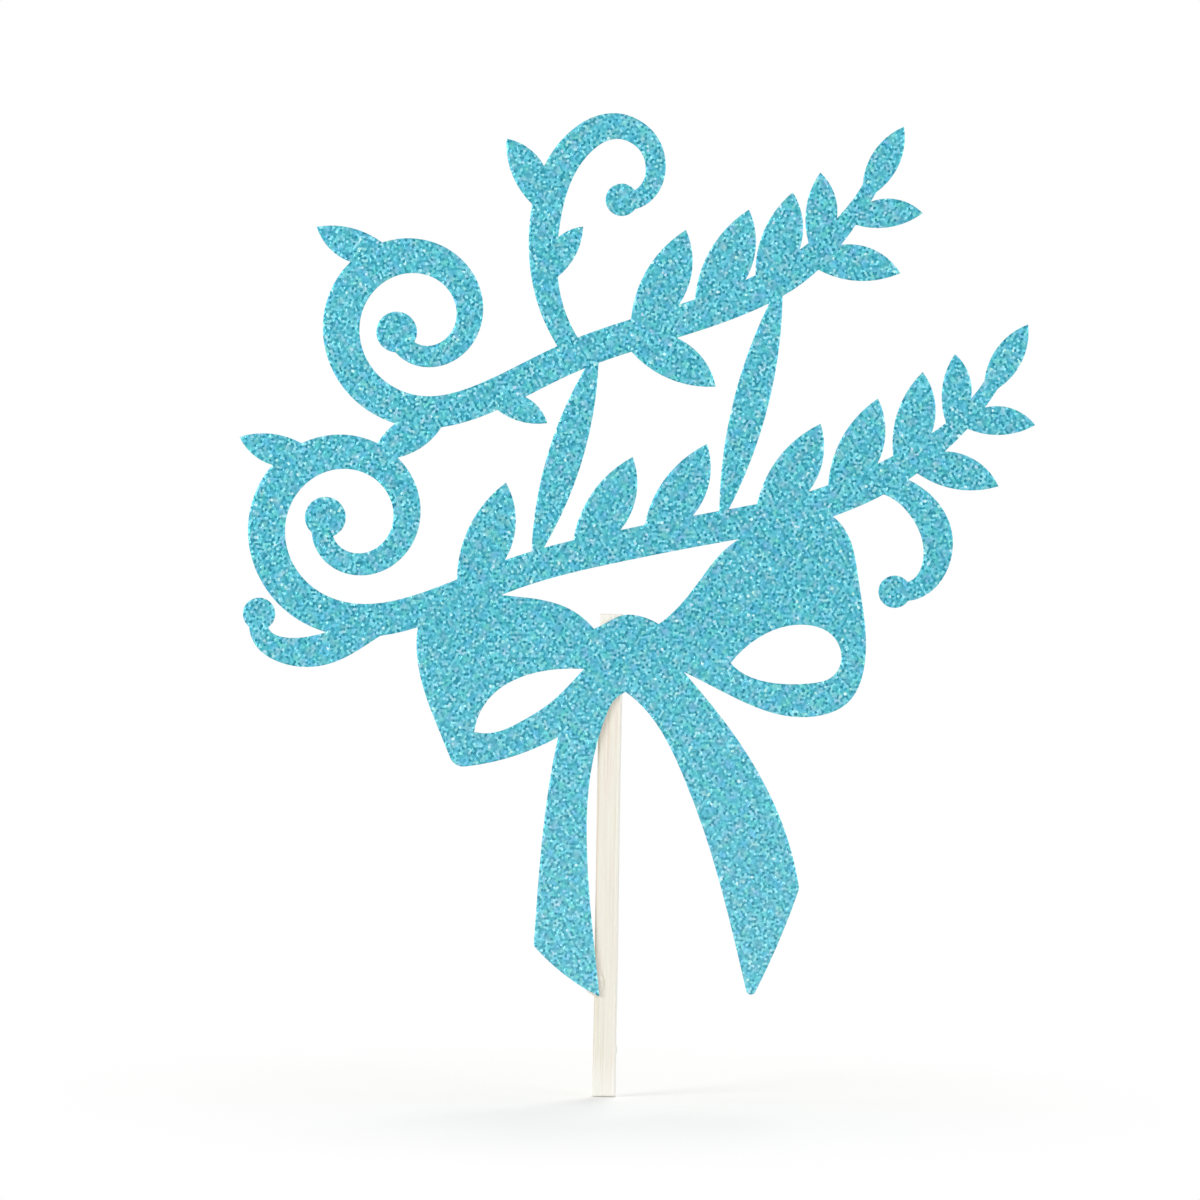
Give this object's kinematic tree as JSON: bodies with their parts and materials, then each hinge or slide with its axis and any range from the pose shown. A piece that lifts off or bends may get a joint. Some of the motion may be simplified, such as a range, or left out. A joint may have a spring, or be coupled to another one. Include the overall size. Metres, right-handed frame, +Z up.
{
  "type": "cake topper",
  "caption": "Flat die-cut glitter card with a ribbon bow and a leafy scroll crest above it, glued to a flat wooden stick that is pushed into a cake.",
  "frame": {"origin": "middle of the stick's lower end", "axes": "+Z up along the stick, +X to the right as the glitter side is looked at, the glitter faces -Y"},
  "size_m": [0.1326, 0.0027, 0.164],
  "materials": {
    "card": "matte white card with die-cut edges",
    "glitter": "turquoise glitter flakes in clear varnish",
    "wood": "plain unvarnished pale wood",
    "glue": "milky hot-melt glue"
  },
  "bodies": {
    "root": {"card_sheet": "card", "glitter_face": "glitter", "stick": "wood", "knot_glue": "glue", "tail_glue": "glue"}
  },
  "joints": []
}
